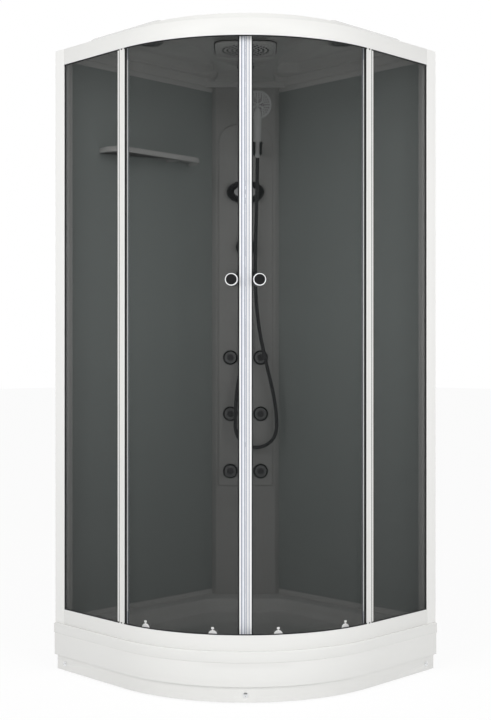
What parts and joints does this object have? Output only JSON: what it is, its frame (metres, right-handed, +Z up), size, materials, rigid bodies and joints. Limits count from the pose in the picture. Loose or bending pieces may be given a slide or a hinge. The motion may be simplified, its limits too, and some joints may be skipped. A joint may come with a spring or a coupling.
{
  "type": "steam shower cabin",
  "caption": "Quadrant steam shower cabin with curved sliding tinted doors, raised tray, moulded roof, corner column with jets, hand shower, overhead shower and shelf.",
  "frame": {"origin": "on the floor under the centre of the square plan", "axes": "+Z up; the room walls lie in the planes X minimum and Y maximum, and the curved front faces +X -Y"},
  "size_m": [0.9, 0.9, 2.124],
  "materials": {
    "white_acrylic": "glossy moulded white acrylic",
    "white_frame": "glossy white powder coat on extruded aluminium",
    "wall_panel": "pale grey-green gloss sheet",
    "tinted_glass": "grey tinted toughened glass with polished edges",
    "clear_seal": "milky flexible profile with a magnet strip",
    "chrome": "polished chrome plate",
    "dark_chrome": "polished chrome plate, darker in the folds",
    "handset": "white and silver moulded plastic",
    "white_plastic": "white moulded nylon",
    "nozzle_grey": "dark grey soft plastic",
    "lamp_lens": "dark glossy lens",
    "frame_steel": "zinc plated welded tube",
    "brass_body": "cast and machined brass",
    "service_plastic": "grey service plastic",
    "generator_case": "painted sheet steel"
  },
  "bodies": {
    "cabin": {"tray": "white_acrylic", "apron": "white_acrylic", "roof": "white_acrylic", "corner_column": "white_acrylic", "shelf": "white_acrylic", "rain_shower": "white_acrylic", "top_rail": "white_frame", "bottom_rail": "white_frame", "left_jamb": "white_frame", "right_jamb": "white_frame", "left_post": "white_frame", "right_post": "white_frame", "wall_frames": "white_frame", "left_wall_panel": "wall_panel", "right_wall_panel": "wall_panel", "left_fixed_glass": "tinted_glass", "right_fixed_glass": "tinted_glass", "apron_screws": "chrome", "jet_flanges": "chrome", "hose_outlet": "chrome", "steam_outlet": "chrome", "control_panel": "chrome", "ceiling_grilles": "chrome", "holder_bracket": "dark_chrome", "shower_hose": "dark_chrome", "ceiling_lamp": "lamp_lens", "base_frame": "frame_steel", "levelling_feet": "frame_steel", "mixer_body": "brass_body", "waste_trap": "service_plastic", "pipework": "service_plastic", "steam_generator": "generator_case"},
    "left_door": {"left_door_glass": "tinted_glass", "left_door_seals": "clear_seal", "left_door_knob": "chrome", "left_roller_brackets": "white_plastic"},
    "left_wheel_front": {"left_upper_wheel_front": "white_plastic"},
    "left_guide_front": {"left_lower_guide_front": "white_plastic"},
    "left_wheel_rear": {"left_upper_wheel_rear": "white_plastic"},
    "left_guide_rear": {"left_lower_guide_rear": "white_plastic"},
    "right_door": {"right_door_glass": "tinted_glass", "right_door_seals": "clear_seal", "right_door_knob": "chrome", "right_roller_brackets": "white_plastic"},
    "right_wheel_front": {"right_upper_wheel_front": "white_plastic"},
    "right_guide_front": {"right_lower_guide_front": "white_plastic"},
    "right_wheel_rear": {"right_upper_wheel_rear": "white_plastic"},
    "right_guide_rear": {"right_lower_guide_rear": "white_plastic"},
    "diverter": {"diverter_knob": "chrome"},
    "mixer": {"mixer_knob": "chrome"},
    "nozzle_1": {"jet_nozzle_1": "nozzle_grey"},
    "nozzle_2": {"jet_nozzle_2": "nozzle_grey"},
    "nozzle_3": {"jet_nozzle_3": "nozzle_grey"},
    "nozzle_4": {"jet_nozzle_4": "nozzle_grey"},
    "nozzle_5": {"jet_nozzle_5": "nozzle_grey"},
    "nozzle_6": {"jet_nozzle_6": "nozzle_grey"},
    "cradle": {"shower_cradle": "dark_chrome"},
    "handset": {"hand_shower": "handset"},
    "fan": {"fan_impeller": "service_plastic"},
    "drain_cover": {"waste_cover": "chrome"}
  },
  "joints": [
    {"name": "left_door_slide", "type": "hinge", "parent": "cabin", "child": "left_door", "pos_m": [-0.1354, 0.2152, 1.1], "axis": [0, 0, -1], "range_deg": [0, 19.5]},
    {"name": "left_wheel_front_roll", "type": "hinge", "parent": "left_door", "child": "left_wheel_front", "pos_m": [0.1818, -0.3178, 2.0367], "axis": [0.5592, -0.829, 0], "continuous": true},
    {"name": "left_guide_front_release", "type": "slide", "parent": "left_door", "child": "left_guide_front", "axis": [0, 0, -1], "range_m": [0, 0.003], "stiffness_N_per_m": 300},
    {"name": "left_wheel_rear_roll", "type": "hinge", "parent": "left_door", "child": "left_wheel_rear", "pos_m": [-0.0255, -0.3985, 2.0367], "axis": [0.1478, -0.989, 0], "continuous": true},
    {"name": "left_guide_rear_release", "type": "slide", "parent": "left_door", "child": "left_guide_rear", "axis": [0, 0, -1], "range_m": [0, 0.003], "stiffness_N_per_m": 300},
    {"name": "right_door_slide", "type": "hinge", "parent": "cabin", "child": "right_door", "pos_m": [-0.2152, 0.1354, 1.1], "axis": [0, 0, 1], "range_deg": [0, 19.5]},
    {"name": "right_wheel_front_roll", "type": "hinge", "parent": "right_door", "child": "right_wheel_front", "pos_m": [0.3178, -0.1818, 2.0367], "axis": [0.829, -0.5592, 0], "continuous": true},
    {"name": "right_guide_front_release", "type": "slide", "parent": "right_door", "child": "right_guide_front", "axis": [0, 0, -1], "range_m": [0, 0.003], "stiffness_N_per_m": 300},
    {"name": "right_wheel_rear_roll", "type": "hinge", "parent": "right_door", "child": "right_wheel_rear", "pos_m": [0.3985, 0.0255, 2.0367], "axis": [0.989, -0.1478, 0], "continuous": true},
    {"name": "right_guide_rear_release", "type": "slide", "parent": "right_door", "child": "right_guide_rear", "axis": [0, 0, -1], "range_m": [0, 0.003], "stiffness_N_per_m": 300},
    {"name": "diverter_turn", "type": "hinge", "parent": "cabin", "child": "diverter", "pos_m": [-0.31565, 0.31565, 1.444], "axis": [0.7071, -0.7071, 0], "range_deg": [-120, 120]},
    {"name": "mixer_turn", "type": "hinge", "parent": "cabin", "child": "mixer", "pos_m": [-0.31565, 0.31565, 1.333], "axis": [0.7071, -0.7071, 0], "range_deg": [-90, 90]},
    {"name": "nozzle_1_tilt", "type": "hinge", "parent": "cabin", "child": "nozzle_1", "pos_m": [-0.36444, 0.28524, 1.035], "axis": [0.7071, 0.7071, 0], "range_deg": [-15, 15]},
    {"name": "nozzle_2_tilt", "type": "hinge", "parent": "cabin", "child": "nozzle_2", "pos_m": [-0.28524, 0.36444, 1.035], "axis": [0.7071, 0.7071, 0], "range_deg": [-15, 15]},
    {"name": "nozzle_3_tilt", "type": "hinge", "parent": "cabin", "child": "nozzle_3", "pos_m": [-0.36444, 0.28524, 0.827], "axis": [0.7071, 0.7071, 0], "range_deg": [-15, 15]},
    {"name": "nozzle_4_tilt", "type": "hinge", "parent": "cabin", "child": "nozzle_4", "pos_m": [-0.28524, 0.36444, 0.827], "axis": [0.7071, 0.7071, 0], "range_deg": [-15, 15]},
    {"name": "nozzle_5_tilt", "type": "hinge", "parent": "cabin", "child": "nozzle_5", "pos_m": [-0.36444, 0.28524, 0.615], "axis": [0.7071, 0.7071, 0], "range_deg": [-15, 15]},
    {"name": "nozzle_6_tilt", "type": "hinge", "parent": "cabin", "child": "nozzle_6", "pos_m": [-0.28524, 0.36444, 0.615], "axis": [0.7071, 0.7071, 0], "range_deg": [-15, 15]},
    {"name": "cradle_tilt", "type": "hinge", "parent": "cabin", "child": "cradle", "pos_m": [-0.27428, 0.3358, 1.797], "axis": [0.7071, 0.7071, 0], "range_deg": [-10, 0]},
    {"name": "handset_lift", "type": "slide", "parent": "cradle", "child": "handset", "axis": [0.2185, -0.2185, 0.9511], "range_m": [0, 0.06], "deforming": ["shower_hose"]},
    {"name": "fan_spin", "type": "hinge", "parent": "cabin", "child": "fan", "pos_m": [-0.28031, -0.17931, 2.108], "axis": [0, 0, 1], "continuous": true},
    {"name": "cover_lift", "type": "slide", "parent": "cabin", "child": "drain_cover", "axis": [0, 0, 1], "range_m": [0, 0.05]}
  ],
  "couplings": [
    {"joint": "left_wheel_front_roll", "follows": "left_door_slide", "ratio": 62.03},
    {"joint": "left_wheel_rear_roll", "follows": "left_door_slide", "ratio": 62.35},
    {"joint": "right_wheel_front_roll", "follows": "right_door_slide", "ratio": -62.03},
    {"joint": "right_wheel_rear_roll", "follows": "right_door_slide", "ratio": -62.35}
  ]
}
